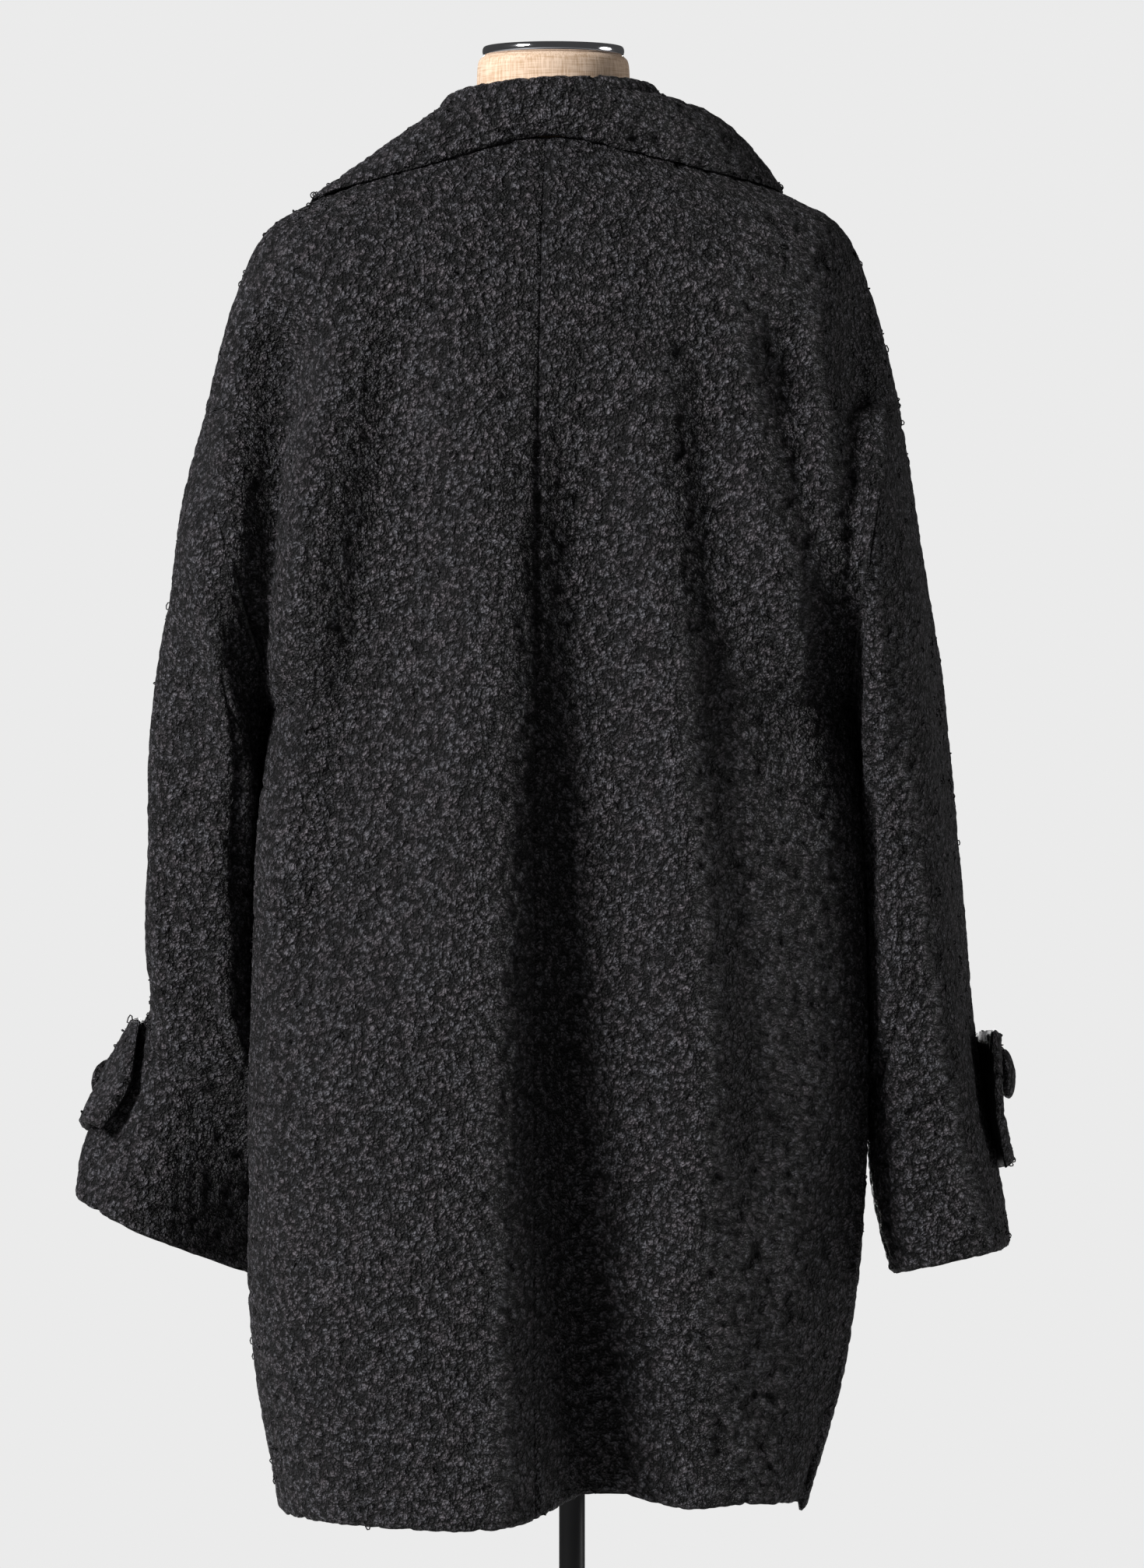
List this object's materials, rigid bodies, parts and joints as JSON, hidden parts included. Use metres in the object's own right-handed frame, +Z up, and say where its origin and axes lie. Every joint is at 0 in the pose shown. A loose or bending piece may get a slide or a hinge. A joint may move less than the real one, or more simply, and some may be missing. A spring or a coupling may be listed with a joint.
{
  "type": "long coat on a limbless dress form",
  "caption": "Loose cocoon-shaped long coat in curly charcoal wool with a turned-down collar and cuff tabs, worn by a linen-covered limbless dress form on a pole stand.",
  "frame": {"origin": "middle of the underside of the stand's foot", "axes": "+Z up the pole, +X towards the wearer's left, +Y towards the coat's back"},
  "size_m": [0.6049, 0.34, 1.5],
  "materials": {
    "curly_wool": "charcoal wool cloth with a curly looped face, matt",
    "linen": "natural plain-woven linen cover, matt",
    "chrome": "polished chrome plate",
    "black_paint": "black powder coat, satin"
  },
  "bodies": {
    "root": {"back_left": "curly_wool", "back_right": "curly_wool", "front_left": "curly_wool", "front_right": "curly_wool", "sleeve_left": "curly_wool", "sleeve_right": "curly_wool", "collar": "curly_wool", "cuff_tab_left": "curly_wool", "cuff_tab_right": "curly_wool", "cuff_button_left": "curly_wool", "cuff_button_right": "curly_wool", "front_button_top": "curly_wool", "front_button_middle": "curly_wool", "front_button_low": "curly_wool", "form_body": "linen", "neck_cap": "chrome", "stand_pole": "black_paint", "stand_foot": "black_paint"}
  },
  "joints": []
}
